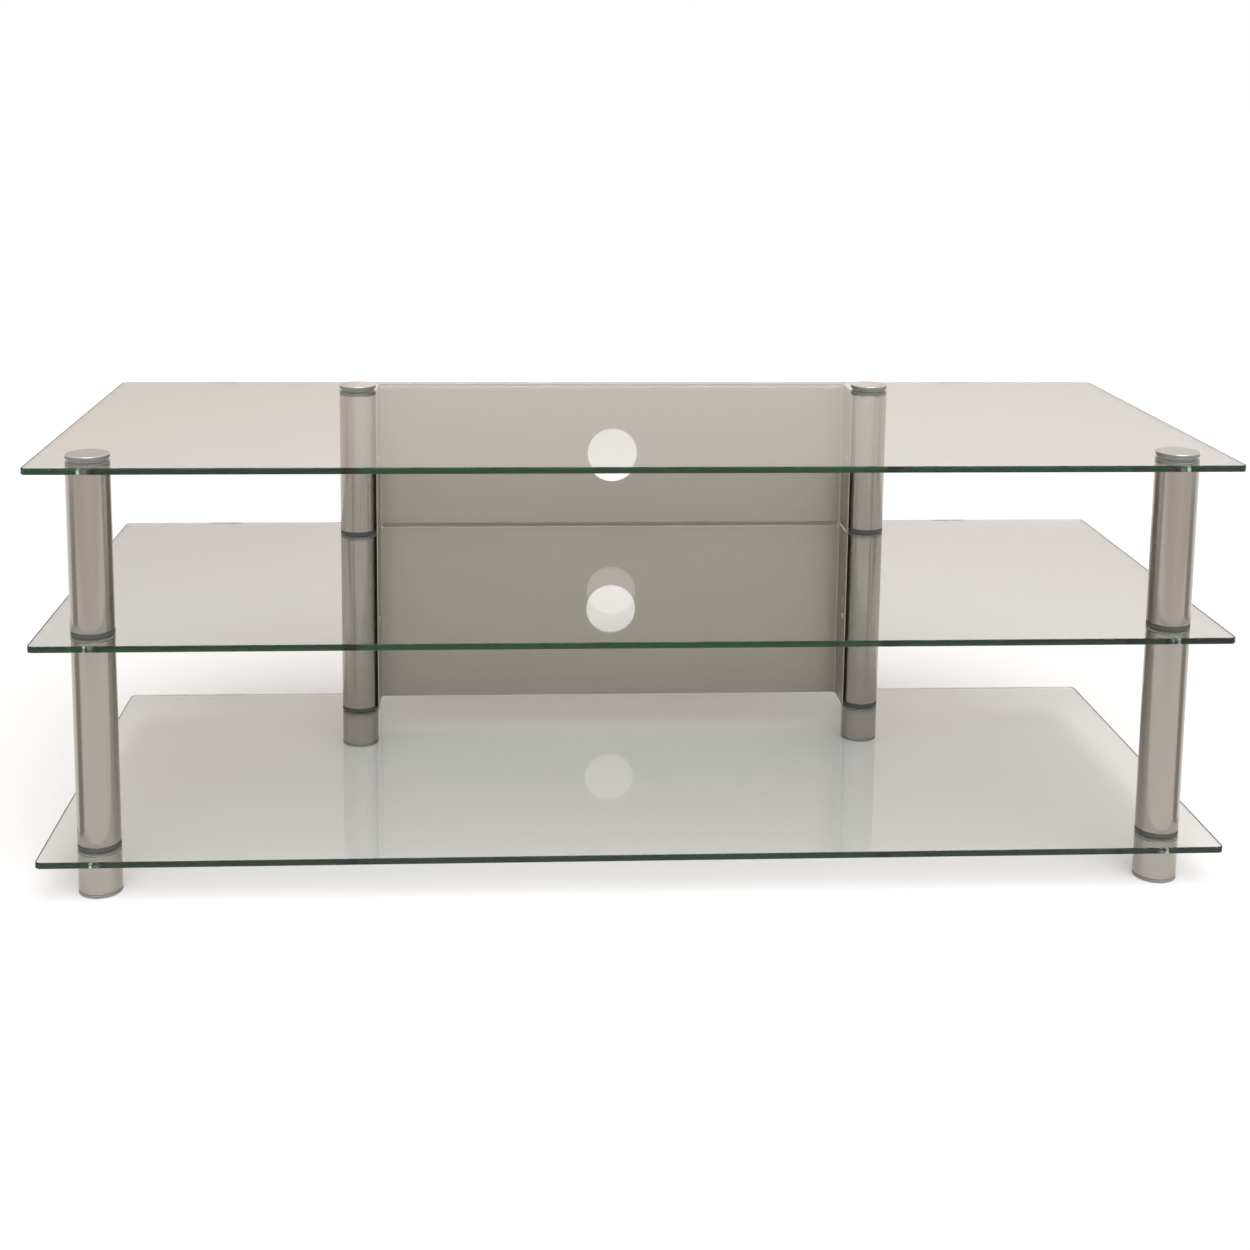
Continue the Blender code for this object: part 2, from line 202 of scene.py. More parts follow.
def drilled_grid(columns, rows, holes):
    """Crossings of columns and rows, and the quads between them that no hole takes away.

    Round each hole the square shells of the grid turn into circles: a point whose larger offset from the
    centre is m keeps its bearing and moves towards the distance m, fully at the edge of the hole and not
    at all at twice its radius. Quads nearer than the radius are left out.
    """
    across, along = np.meshgrid(columns, rows, indexing="ij")
    mid_across, mid_along = np.meshgrid(
        (columns[1:] + columns[:-1]) / 2, (rows[1:] + rows[:-1]) / 2, indexing="ij"
    )
    kept = np.ones(mid_across.shape, bool)
    for centre_across, centre_along, radius in holes:
        off_across = across - centre_across
        off_along = along - centre_along
        shell = np.maximum(abs(off_across), abs(off_along))
        share = np.clip(2 - shell / radius, 0, 1)
        turn = 1 + share * (shell / np.maximum(np.hypot(off_across, off_along), WELD) - 1)
        across = centre_across + off_across * turn
        along = centre_along + off_along * turn
        nearest = np.maximum(abs(mid_across - centre_across), abs(mid_along - centre_along))
        kept &= nearest > radius
    return across, along, kept


def grid_mesh(name, points, kept):
    """Quads over a grid of points, those kept, with points that coincide merged at seams and poles."""
    index = np.arange(points.shape[0] * points.shape[1]).reshape(points.shape[:2])
    corners = (index[:-1, :-1], index[1:, :-1], index[1:, 1:], index[:-1, 1:])
    quads = np.stack(corners, axis=-1)[kept]
    used, quads = np.unique(quads, return_inverse=True)
    mesh = bpy.data.meshes.new(name)
    mesh.from_pydata(points.reshape(-1, 3)[used], [], quads.reshape(-1, 4))
    shape = bmesh.new()
    shape.from_mesh(mesh)
    bmesh.ops.remove_doubles(shape, verts=shape.verts, dist=WELD)
    shape.to_mesh(mesh)
    shape.free()
    return mesh


def fit(name, mesh, material, node):
    """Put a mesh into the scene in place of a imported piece."""
    piece = bpy.data.objects.new(name, mesh)
    bpy.context.scene.collection.objects.link(piece)
    mesh.materials.append(material)
    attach(piece, "root")
    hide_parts(node)
    return piece


def thicken(piece, thickness, offset, edge):
    """Give a sheet its wall, and ease the edges of the wall."""
    wall = piece.modifiers.new("wall", "SOLIDIFY")
    wall.thickness = thickness
    wall.offset = offset
    wall.use_even_offset = True
    ease = piece.modifiers.new("ease", "BEVEL")
    ease.width = edge
    ease.segments = EASE_SEGMENTS
    ease.limit_method = "ANGLE"
    ease.angle_limit = EASE_ANGLE
    ease.harden_normals = True


def plate_grid(low, high):
    """The plate's flat grid: crossings in its corner squares are drawn in along their bearing to an arc."""
    square = 2 * GLASS_HOLE
    front_x, front_y = POST_AXES["front_right"]
    rear_x, rear_y = POST_AXES["rear_right"]
    columns = mirrored(
        ruled(
            0.0,
            (rear_x - square, 6),
            (rear_x + square, 16),
            (front_x - square, 6),
            (front_x + square, 16),
            (high[0] - GLASS_CORNER, 2),
            (high[0], 6),
        )
    )
    rows = ruled(
        low[1],
        (low[1] + GLASS_CORNER, 6),
        (front_y - square, 1),
        (front_y + square, 16),
        (rear_y - square, 8),
        (rear_y + square, 16),
        (high[1] - GLASS_CORNER, 2),
        (high[1], 6),
    )
    holes = [(x, y, GLASS_HOLE) for x, y in POST_AXES.values()]
    across, along, kept = drilled_grid(columns, rows, holes)
    inner = high[:2] - GLASS_CORNER
    past_across = np.maximum(abs(across) - inner[0], 0)
    past_along = np.maximum(abs(along) - inner[1], 0)
    shell = np.maximum(past_across, past_along)
    draw = shell / np.maximum(np.hypot(past_across, past_along), WELD)
    across = np.sign(across) * (np.minimum(abs(across), inner[0]) + past_across * draw)
    along = np.sign(along) * (np.minimum(abs(along), inner[1]) + past_along * draw)
    return across, along, kept


light_paths = bpy.context.scene.cycles
light_paths.max_bounces = GLASS_BOUNCES
light_paths.glossy_bounces = GLASS_BOUNCES
light_paths.transmission_bounces = GLASS_BOUNCES
GLASS = polished_glass()
for level in ("bottom", "middle", "top"):
    low, high = box_of(f"{level}_shelf")
    across, along, kept = plate_grid(low, high)
    points = np.stack([across, along, np.full_like(across, low[2])], axis=-1)
    mesh = grid_mesh(f"{level}_glass_plate", points, kept)
    plate = fit(f"{level}_glass_plate", mesh, GLASS, f"{level}_shelf")
    thicken(plate, high[2] - low[2], 1.0, GLASS_ARRIS)
    plate.visible_diffuse = False

# Post tubes: lengths of tube with a satin silver finish, brushed lengthwise. A foot, a lower and an upper
# length stand on each other with the glass between them. The rear ones have a hole in the inner side
# for the screw that holds the back panel.
TUBE_WALL = 0.0015
TUBE_EDGE = 0.0004
PILOT_HOLE = 0.0023
TUBE_FACETS = 96
TUBE_SILVER = (0.432, 0.402, 0.366)
TUBE_SHADE = (0.358, 0.33, 0.30)
TUBE_ROUGHNESS = (0.16, 0.26)
BRUSH_PER_METRE = 900.0
BRUSH_STRETCH = (1.0, 1.0, 0.006)
BRUSH_DEPTH = 0.00002
BRUSH_SHARE = 0.6
SHEEN_PER_METRE = 18.0
SHEEN_STRETCH = (1.0, 1.0, 0.35)


def satin_silver():
    """Metal with fine brush lines along the tube that change its colour, gloss and slope a little."""
    made, shader, place = new_finish("satin_silver")
    brush = place.noise(BRUSH_PER_METRE, 3.0, BRUSH_STRETCH)
    sheen = place.noise(SHEEN_PER_METRE, 2.0, SHEEN_STRETCH)
    tone = brush * BRUSH_SHARE + sheen * (1 - BRUSH_SHARE)
    tone.blend(TUBE_SHADE, TUBE_SILVER).feed(shader.inputs["Base Color"])
    brush.between(*TUBE_ROUGHNESS).feed(shader.inputs["Roughness"])
    brush.bump(BRUSH_DEPTH, 0.4).feed(shader.inputs["Normal"])
    shader.inputs["Metallic"].default_value = 1.0
    return made


def rolled_tube(low, high, axis, holed):
    """The outside of a tube: a grid of turns and heights, rolled up, with a hole on the side facing x = 0.

    A length s round the tube goes to the bearing s / radius from the side that faces x = 0.
    """
    radius = (high[0] - low[0]) / 2
    turn = mirrored(ruled(0.0, (2 * PILOT_HOLE, 8), (math.pi * radius, TUBE_FACETS // 2 - 8)))
    middle = (low[2] + high[2]) / 2
    edge = 2 * TUBE_EDGE
    square = 2 * PILOT_HOLE
    heights = ruled(
        low[2],
        (low[2] + edge, 1),
        (middle - square, 4),
        (middle + square, 16),
        (high[2] - edge, 4),
        (high[2], 1),
    )
    holes = [(0.0, middle, PILOT_HOLE)] if holed else []
    across, along, kept = drilled_grid(turn, heights, holes)
    bearing = across / radius + (math.pi if axis[0] > 0 else 0.0)
    x = axis[0] + radius * np.cos(bearing)
    y = axis[1] + radius * np.sin(bearing)
    return np.stack([x, y, along], axis=-1), kept


SILVER = satin_silver()
for corner in CORNERS:
    for segment in ("foot", "lower", "upper"):
        node = f"{corner}_{segment}_tube"
        low, high = box_of(node)
        holed = corner.startswith("rear") and segment != "foot"
        points, kept = rolled_tube(low, high, POST_AXES[corner], holed)
        mesh = grid_mesh(f"{corner}_{segment}_satin_tube", points, kept)
        mesh.shade_smooth()
        piece = fit(f"{corner}_{segment}_satin_tube", mesh, SILVER, node)
        thicken(piece, TUBE_WALL, -1.0, TUBE_EDGE)

# Foot plugs: grey moulded glides pushed into the foot tubes. Each has a flange flush with the tube, which
# stands on the floor, and a pocket from below for the head of the long bolt.
PLUG_FLANGE = 0.003
PLUG_POCKET = (0.0085, 0.0066)
PLUG_EASE = 0.0006
BOLT_HOLE = 0.0045
SPIGOT = 0.0182
ROUND_FACETS = 96
PLUG_GREY = (0.20, 0.195, 0.18)
PLUG_PALE = (0.27, 0.26, 0.24)
PLUG_GRAIN_PER_METRE = 900.0
MOULD_ROUGHNESS = (0.42, 0.62)
MOULD_GRAIN_DEPTH = 0.00008
SHARP_ANGLE = math.radians(40)


def moulded(name, dark, pale, grain):
    """Matt moulded plastic with a fine spark-eroded grain."""
    made, shader, place = new_finish(name)
    speck = place.noise(grain, 4.0)
    speck.blend(dark, pale).feed(shader.inputs["Base Color"])
    speck.between(*MOULD_ROUGHNESS).feed(shader.inputs["Roughness"])
    speck.bump(MOULD_GRAIN_DEPTH, 0.5).feed(shader.inputs["Normal"])
    return made


def eased(corners, radius, steps=4):
    """A closed profile with each corner an arc of one radius, held by a point either side of the arc.

    An arc between unit vectors a and b at an angle t is their blend by sin((1 - k) t) and sin(k t).
    """
    corners = np.array(corners, float)
    share = np.linspace(0, 1, steps + 1)[:, None]
    profile = []
    for before, corner, after in zip(np.roll(corners, 1, 0), corners, np.roll(corners, -1, 0)):
        back = (before - corner) / np.linalg.norm(before - corner)
        ahead = (after - corner) / np.linalg.norm(after - corner)
        half = math.acos(np.clip(back @ ahead, -1, 1)) / 2
        reach = radius / math.tan(half)
        centre = corner + (back + ahead) / np.linalg.norm(back + ahead) * radius / math.sin(half)
        first = (corner + back * reach - centre) / radius
        last = (corner + ahead * reach - centre) / radius
        sweep = math.pi - 2 * half
        arc = (np.sin((1 - share) * sweep) * first + np.sin(share * sweep) * last) / math.sin(sweep)
        profile += [corner + back * 1.5 * reach, *(centre + radius * arc), corner + ahead * 1.5 * reach]
    return np.array(profile)


def turned(name, profile, axis, closed=True):
    """A profile of (radius r, height z) turned about an upright axis: x + r cos a, y + r sin a, z."""
    profile = np.array(profile, float)
    if closed:
        profile = np.concatenate([profile, profile[:1]])
    turn = np.linspace(0, 2 * math.pi, ROUND_FACETS + 1)[:, None]
    x = axis[0] + profile[:, 0] * np.cos(turn)
    y = axis[1] + profile[:, 0] * np.sin(turn)
    z = np.broadcast_to(profile[:, 1], x.shape)
    kept = np.ones((len(turn) - 1, len(profile) - 1), bool)
    mesh = grid_mesh(name, np.stack([x, y, z], axis=-1), kept)
    mesh.shade_smooth()
    mesh.set_sharp_from_angle(angle=SHARP_ANGLE)
    return mesh


GLIDE = moulded("glide_plastic", PLUG_GREY, PLUG_PALE, PLUG_GRAIN_PER_METRE)
for corner in CORNERS:
    low, high = box_of(f"{corner}_foot_plug")
    radius = (high[0] - low[0]) / 2
    pocket_radius, pocket_depth = PLUG_POCKET
    profile = [
        (pocket_radius, 0.0),
        (radius, 0.0),
        (radius, PLUG_FLANGE),
        (SPIGOT, PLUG_FLANGE),
        (SPIGOT, high[2]),
        (BOLT_HOLE, high[2]),
        (BOLT_HOLE, pocket_depth),
        (pocket_radius, pocket_depth),
    ]
    mesh = turned(f"{corner}_glide", eased(profile, PLUG_EASE), POST_AXES[corner])
    fit(f"{corner}_glide", mesh, GLIDE, f"{corner}_foot_plug")

# Rings: dark moulded plugs at the lower end of each post tube. The flange stands on the glass as a thin
# dark band, and the spigot centres the tube on the bolt.
RING_FLANGE = 0.004
RING_EASE = 0.0005
RING_BLACK = (0.055, 0.056, 0.053)
RING_GREY = (0.088, 0.089, 0.084)
RING_GRAIN_PER_METRE = 1200.0


def flanged_plug(name, low, high, seat, axis, ease):
    """A flange out to the tube's radius below or above the seat, and a spigot on its other side."""
    radius = (high[0] - low[0]) / 2
    flange_below = seat - low[2] < high[2] - seat
    outer = low[2] if flange_below else high[2]
    inner = high[2] if flange_below else low[2]
    profile = [(BOLT_HOLE, outer), (radius, outer), (radius, seat), (SPIGOT, seat), (SPIGOT, inner)]
    profile.append((BOLT_HOLE, inner))
    profile = eased(profile, ease)
    return turned(name, profile if flange_below else profile[::-1], axis)


DARK = moulded("ring_plastic", RING_BLACK, RING_GREY, RING_GRAIN_PER_METRE)
for corner in CORNERS:
    for segment in ("lower", "upper"):
        name = f"{corner}_{segment}_dark_ring"
        node = f"{corner}_{segment}_ring"
        low, high = box_of(node)
        seat = low[2] + RING_FLANGE
        mesh = flanged_plug(name, low, high, seat, POST_AXES[corner], RING_EASE)
        fit(name, mesh, DARK, node)

# Collars and cap washers: soft clear plastic. A collar plugs the upper end of each tube and bears on the
# glass above it with a thin flange; a washer lies between each cap and the top glass.
COLLAR_FLANGE = 0.001
SOFT_EASE = 0.0002
WASHER_HOLE = 0.008
VINYL_PALE = (0.74, 0.75, 0.72)
VINYL_DULL = (0.62, 0.63, 0.60)
VINYL_ROUGHNESS = (0.30, 0.45)
VINYL_CLEARNESS = 0.4
VINYL_CLOUDS_PER_METRE = 220.0


def soft_vinyl():
    """Milky clear plastic, a little cloudy from place to place."""
    made, shader, place = new_finish("soft_vinyl")
    cloud = place.noise(VINYL_CLOUDS_PER_METRE, 3.0)
    cloud.blend(VINYL_DULL, VINYL_PALE).feed(shader.inputs["Base Color"])
    cloud.between(*VINYL_ROUGHNESS).feed(shader.inputs["Roughness"])
    shader.inputs["Transmission Weight"].default_value = VINYL_CLEARNESS
    return made


VINYL = soft_vinyl()
for corner in CORNERS:
    for segment in ("foot", "lower", "upper"):
        name = f"{corner}_{segment}_clear_collar"
        node = f"{corner}_{segment}_collar"
        low, high = box_of(node)
        seat = high[2] - COLLAR_FLANGE
        mesh = flanged_plug(name, low, high, seat, POST_AXES[corner], SOFT_EASE)
        fit(name, mesh, VINYL, node)
    low, high = box_of(f"{corner}_cap_washer")
    radius = (high[0] - low[0]) / 2
    profile = [(WASHER_HOLE, low[2]), (radius, low[2]), (radius, high[2]), (WASHER_HOLE, high[2])]
    mesh = turned(f"{corner}_soft_washer", eased(profile, SOFT_EASE), POST_AXES[corner])
    fit(f"{corner}_soft_washer", mesh, VINYL, f"{corner}_cap_washer")

# Caps: flat chromed discs over the top glass, with eased rims whose colour is painted darker than the face
# as shade.
# A threaded boss under each goes through the glass and takes the end of the long bolt.
CAP_THICKNESS = 0.004
CAP_EASE = 0.0009
CAP_SKIN = 0.002
BOSS = 0.007
CHROME_LIGHT = (0.82, 0.815, 0.80)
CHROME_DARK = (0.72, 0.715, 0.70)
# Painted shade: a dark colour for the cap's rim, standing in for the shade below the flat face.
CHROME_RIM_SHADE = (0.26, 0.255, 0.245)
CHROME_ROUGHNESS = (0.05, 0.15)
CHROME_METAL = 0.6
WEAR_PER_METRE = 420.0
WEAR_DEPTH = 0.00003


def bright_chrome(face):
    """Polished plate with faint turning marks and a little wear, with painted shade on the rim below the
    flat face.
    """
    made, shader, place = new_finish("bright_plate")
    wear = place.noise(WEAR_PER_METRE, 4.0)
    height = place.node("ShaderNodeSeparateXYZ", {}, {0: place}, 2)
    # Below the flat face the rim takes the painted shade colour instead of the plate's.
    unshaded_face = height.ramp(face - CAP_EASE, face - CAP_EASE / 4)
    plate = wear.blend(CHROME_DARK, CHROME_LIGHT)
    unshaded_face.blend(CHROME_RIM_SHADE, plate).feed(shader.inputs["Base Color"])
    wear.between(*CHROME_ROUGHNESS).feed(shader.inputs["Roughness"])
    wear.bump(WEAR_DEPTH, 0.3).feed(shader.inputs["Normal"])
    shader.inputs["Metallic"].default_value = CHROME_METAL
    return made


CHROME = bright_chrome(cad_box[1][2])
for corner in CORNERS:
    low, high = box_of(f"{corner}_top_cap")
    radius = (high[0] - low[0]) / 2
    base = high[2] - CAP_THICKNESS
    skin = high[2] - CAP_SKIN
    ring = eased([(BOSS, base), (radius, base), (radius, high[2]), (BOSS, high[2])], CAP_EASE)
    rim = ring[len(ring) // 4 : 3 * len(ring) // 4]
    profile = [(0.0, skin), (BOLT_HOLE, skin), (BOLT_HOLE, low[2]), (BOSS, low[2]), (BOSS, base)]
    profile += [*rim, (0.0, high[2])]
    mesh = turned(f"{corner}_chrome_cap", profile, POST_AXES[corner], False)
    fit(f"{corner}_chrome_cap", mesh, CHROME, f"{corner}_top_cap")

# Long bolts: zinc-plated hexagon bolts inside the posts. The head sits in the foot plug, and the thread at
# the upper end runs into the boss of the cap.
BOLT_RADIUS = 0.004
BOLT_FLATS = 0.013
BOLT_HEAD = 0.0053
BOLT_CHAMFER = 0.0006
BOLT_THREAD = 0.040
THREAD_PITCH = 0.00125
THREAD_DEPTH = 0.0006
THREAD_STEPS = 6
BOLT_FACETS = 48
BOLT_SHARP_ANGLE = math.radians(25)
CHAMFER_SLOPE = math.tan(math.radians(60))
ZINC_LIGHT = (0.56, 0.56, 0.54)
ZINC_DARK = (0.44, 0.44, 0.43)
ZINC_ROUGHNESS = (0.25, 0.45)
ZINC_CLOUDS_PER_METRE = 300.0


def zinc_plate():
    """Bright zinc with a slightly cloudy passivation."""
    made, shader, place = new_finish("zinc_plate")
    cloud = place.noise(ZINC_CLOUDS_PER_METRE, 4.0)
    cloud.blend(ZINC_DARK, ZINC_LIGHT).feed(shader.inputs["Base Color"])
    cloud.between(*ZINC_ROUGHNESS).feed(shader.inputs["Roughness"])
    shader.inputs["Metallic"].default_value = 1.0
    return made


def hexagon_bolt(name, low, high, axis):
    """Turns by heights: a hexagon head, then a shank that is threaded at its upper end.

    The head's radius is that of its flats over the cosine of the bearing from the nearest flat, limited by
    a cone at the corners. Over the thread the shank's radius falls in a triangle wave along a helix.
    """
    turn = np.linspace(0, 2 * math.pi, BOLT_FACETS + 1)[:, None]
    head_top = low[2] + BOLT_HEAD
    thread_base = high[2] - BOLT_THREAD
    turns = int(BOLT_THREAD / THREAD_PITCH)
    head = np.array([low[2], low[2] + BOLT_CHAMFER, head_top])
    shank = ruled(head_top, (thread_base, 6), (high[2], THREAD_STEPS * turns))
    flat = (turn + math.pi / 6) % (math.pi / 3) - math.pi / 6
    hexagon = BOLT_FLATS / 2 / np.cos(flat)
    cone = BOLT_FLATS / 2 + (head - low[2]) * CHAMFER_SLOPE
    head_radius = np.minimum(hexagon, cone)
    from_base = (shank - thread_base) / THREAD_PITCH
    from_end = (high[2] - shank) / THREAD_PITCH
    wave = abs((from_base - turn / (2 * math.pi)) % 1 - 0.5) * 2
    fade = np.clip(from_base, 0, 1) * np.clip(from_end, 0, 1)
    shank_radius = BOLT_RADIUS - THREAD_DEPTH * wave * fade
    pole = np.zeros_like(turn)
    radius = np.concatenate([pole, head_radius, shank_radius, pole], axis=1)
    height = np.concatenate([[low[2]], head, shank, [high[2]]])
    x = axis[0] + radius * np.cos(turn)
    y = axis[1] + radius * np.sin(turn)
    points = np.stack([x, y, np.broadcast_to(height, x.shape)], axis=-1)
    mesh = grid_mesh(name, points, np.ones((len(turn) - 1, len(height) - 1), bool))
    mesh.shade_smooth()
    mesh.set_sharp_from_angle(angle=BOLT_SHARP_ANGLE)
    return mesh


ZINC = zinc_plate()
for corner in CORNERS:
    low, high = box_of(f"{corner}_clamp_bolt")
    mesh = hexagon_bolt(f"{corner}_long_bolt", low, high, POST_AXES[corner])
    fit(f"{corner}_long_bolt", mesh, ZINC, f"{corner}_clamp_bolt")

# Back panels: sheet steel in satin grey paint, one in each bay between the rear posts. The sides are folded
# forward onto the tubes, top and bottom have lips folded back, and a round hole lets cables through.
PANEL_FIT = 0.0007
PANEL_SHEET = 0.0012
PANEL_BEND = 0.0026
PANEL_LIP = 0.010
PANEL_RELIEF = 0.0005
PANEL_EDGE = 0.0003
CABLE_HOLE = 0.028
SCREW_HOLE = 0.0023
PANEL_GREY = (0.455, 0.414, 0.366)
PANEL_DULL = (0.417, 0.379, 0.336)
PAINT_ROUGHNESS = (0.36, 0.48)
PAINT_METAL = 0.6
FLAKES_PER_METRE = 2600.0
FLAKE_DEPTH = 0.00002
FLAKE_SHARE = 0.45
PAINT_CLOUDS_PER_METRE = 6.0


def satin_paint():
    """Metallic grey paint with a very fine flake and a soft unevenness."""
    made, shader, place = new_finish("satin_paint")
    flake = place.noise(FLAKES_PER_METRE, 2.0)
    cloud = place.noise(PAINT_CLOUDS_PER_METRE, 3.0)
    tone = flake * FLAKE_SHARE + cloud * (1 - FLAKE_SHARE)
    tone.blend(PANEL_DULL, PANEL_GREY).feed(shader.inputs["Base Color"])
    flake.between(*PAINT_ROUGHNESS).feed(shader.inputs["Roughness"])
    flake.bump(FLAKE_DEPTH, 0.4).feed(shader.inputs["Normal"])
    shader.inputs["Metallic"].default_value = PAINT_METAL
    return made


def folded(length, straight):
    """Where a length along a folded sheet lies: straight to the fold, round its quarter arc, and out."""
    turn = np.clip((length - straight) / PANEL_BEND, 0, math.pi / 2)
    rest = np.maximum(length - straight - PANEL_BEND * math.pi / 2, 0)
    along = np.minimum(length, straight) + PANEL_BEND * np.sin(turn)
    out = PANEL_BEND * (1 - np.cos(turn)) + rest
    return along, out


def folded_panel(name, low, high, screw_y):
    """The middle of the sheet: a flat grid of the blank with its holes, folded along both directions.

    Two columns more at each side carry the ends of the lips, which run on past the notch to the flange's
    outside. They start where the lip has turned away behind the flange.
    """
    web_y = high[1] - PANEL_LIP - PANEL_SHEET / 2
    middle = (low[2] + high[2]) / 2
    side = high[0] - PANEL_SHEET / 2 - PANEL_BEND
    upright = high[2] - PANEL_SHEET / 2 - PANEL_BEND - middle
    arc = PANEL_BEND * math.pi / 2
    flange_end = side + arc + web_y - low[1] - PANEL_BEND
    lip_end = upright + arc + high[1] - web_y - PANEL_BEND
    screw = side + arc + web_y - screw_y - PANEL_BEND
    notch = side - PANEL_RELIEF
    head = upright + PANEL_SHEET / 2 + PANEL_BEND
    lip_ends = np.array([notch, side + PANEL_BEND + PANEL_SHEET / 2])
    blank = mirrored(
        ruled(
            0.0,
            (2 * CABLE_HOLE, 16),
            (notch, 8),
            (side, 1),
            (side + arc, 6),
            (screw - 2 * SCREW_HOLE, 3),
            (screw + 2 * SCREW_HOLE, 16),
            (flange_end, 2),
        )
    )
    columns = np.concatenate([-lip_ends[::-1], blank, lip_ends])
    rows = mirrored(
        ruled(
            0.0,
            (2 * SCREW_HOLE, 8),
            (CABLE_HOLE, 6),
            (2 * CABLE_HOLE, 8),
            (upright, 2),
            (head, 5),
            (upright + arc, 1),
            (lip_end, 2),
        )
    )
    holes = [(0.0, 0.0, CABLE_HOLE), (-screw, 0.0, SCREW_HOLE), (screw, 0.0, SCREW_HOLE)]
    across, along, kept = drilled_grid(columns, rows, holes)
    column = abs(columns[1:] + columns[:-1])[:, None] / 2
    row = abs(rows[1:] + rows[:-1])[None, :] / 2
    kept &= ~((column > notch) & (row > np.where(column > side, head, upright)))
    kept[[0, -1]] = row > head
    kept[[1, -2]] = False
    x, forward = folded(abs(across), side)
    z, backward = folded(abs(along), upright)
    flange = abs(across) > side - WELD
    flange[[0, 1, -2, -1]] = False
    x[[0, -1]] = lip_ends[1]
    forward[[0, -1]] = 0.0
    z = np.where(flange, abs(along), z)
    backward = np.where(flange, 0.0, backward)
    points = np.stack(
        [np.sign(across) * x, web_y - forward + backward, middle + np.sign(along) * z], axis=-1
    )
    mesh = grid_mesh(name, points, kept)
    mesh.shade_smooth()
    return mesh


PAINT = satin_paint()
for segment in ("lower", "upper"):
    low, high = box_of(f"{segment}_back_panel")
    low[2] -= PANEL_FIT
    high[2] += PANEL_FIT
    mesh = folded_panel(f"{segment}_folded_panel", low, high, POST_AXES["rear_left"][1])
    piece = fit(f"{segment}_folded_panel", mesh, PAINT, f"{segment}_back_panel")
    thicken(piece, PANEL_SHEET, 0.0, PANEL_EDGE)

# Panel screws: zinc-plated pan-head screws with a cross recess, driven from inside each flange of a panel
# into the wall of the post beside it.
SCREW_HEAD = (0.0039, 0.0026)
SCREW_SHANK = 0.002
RECESS_DEPTH = 0.0016
RECESS_ARM = (0.0021, 0.0005)
SCREW_PITCH = 0.0014
SCREW_RIDGE = 0.0004
SCREW_TIP = 0.003
SCREW_FACETS = 96
CROWN_RINGS = 40
CROWN_DROP = 0.5
RECESS_SLOPE = 0.0003
RECESS_TAPER = 0.4
SHANK_STEPS = 60


def pan_screw(name, low, high, side):
    """Turns by rings out from the crown, then along the shank to its tip, laid along x, head inwards.

    The crown falls with the fourth power of the radius and has a cross sunk into it. The shank's radius
    falls in a triangle wave along a helix, and to nothing over the tip.
    """
    head, rise = SCREW_HEAD
    length = high[0] - low[0] - rise
    turn = np.linspace(0, 2 * math.pi, SCREW_FACETS + 1)[:, None]
    rings = np.linspace(0, 1, CROWN_RINGS)
    across = abs(rings * head * np.cos(turn))
    along = abs(rings * head * np.sin(turn))
    long_arm, half_width = RECESS_ARM
    inside = np.maximum(np.maximum(across, along) - long_arm, np.minimum(across, along) - half_width)
    sunk = np.clip(0.5 - inside / RECESS_SLOPE, 0, 1)
    crown = rise * (1 - CROWN_DROP * rings**4) - RECESS_DEPTH * sunk * (1 - RECESS_TAPER * rings)
    depth = np.linspace(0, length, SHANK_STEPS)
    wave = abs((depth / SCREW_PITCH - turn / (2 * math.pi)) % 1 - 0.5) * 2
    taper = np.clip((length - depth) / SCREW_TIP, 0, 1)
    shank = (SCREW_SHANK - SCREW_RIDGE * wave * np.clip(depth / SCREW_PITCH, 0, 1)) * taper
    crown_radius = np.broadcast_to(rings * head, crown.shape)
    radius = np.concatenate([crown_radius, np.full_like(turn, head), shank], 1)
    height = np.concatenate([crown, np.zeros_like(turn), np.broadcast_to(-depth, shank.shape)], 1)
    seat = low[0] + rise if side > 0 else high[0] - rise
    axis = (low + high) / 2
    x = seat - side * height
    y = axis[1] + radius * np.cos(turn)
    z = axis[2] - side * radius * np.sin(turn)
    points = np.stack([x, y, z], axis=-1)[:, ::-1]
    mesh = grid_mesh(name, points, np.ones((points.shape[0] - 1, points.shape[1] - 1), bool))
    mesh.shade_smooth()
    mesh.set_sharp_from_angle(angle=SHARP_ANGLE)
    return mesh


for corner, side in (("rear_left", -1), ("rear_right", 1)):
    for segment in ("lower", "upper"):
        node = f"{corner}_{segment}_screw"
        low, high = box_of(node)
        mesh = pan_screw(f"{corner}_{segment}_pan_screw", low, high, side)
        fit(f"{corner}_{segment}_pan_screw", mesh, ZINC, node)

# Floor: a wide pale floor that stays white to the camera and in reflections, and keeps the shadow of the
# stand as a soft grey.
FLOOR_REACH = 40.0
FLOOR_LEVEL = -0.0003
FLOOR_COLOUR = (0.84, 0.85, 0.86, 1.0)
FLOOR_GLOW = 0.14


def pale_floor():
    """A pale diffuse floor with a glow that only sight lines meet, direct, mirrored or through glass."""
    made = bpy.data.materials.new("pale_floor")
    made.use_nodes = True
    tree = made.node_tree
    tree.nodes.remove(tree.nodes["Principled BSDF"])
    path = tree.nodes.new("ShaderNodeLightPath")
    camera_ray = Wire(path.outputs["Is Camera Ray"])
    seen = camera_ray + Wire(path.outputs["Is Glossy Ray"]) + Wire(path.outputs["Is Transmission Ray"])
    strength = seen.math("MINIMUM", seen, 1.0) * FLOOR_GLOW
    glow = seen.node("ShaderNodeEmission", {}, {"Strength": strength})
    matt = seen.node("ShaderNodeBsdfDiffuse", {}, {"Color": FLOOR_COLOUR})
    seen.node("ShaderNodeAddShader", {}, {0: glow, 1: matt}).feed(
        tree.nodes["Material Output"].inputs["Surface"]
    )
    return made


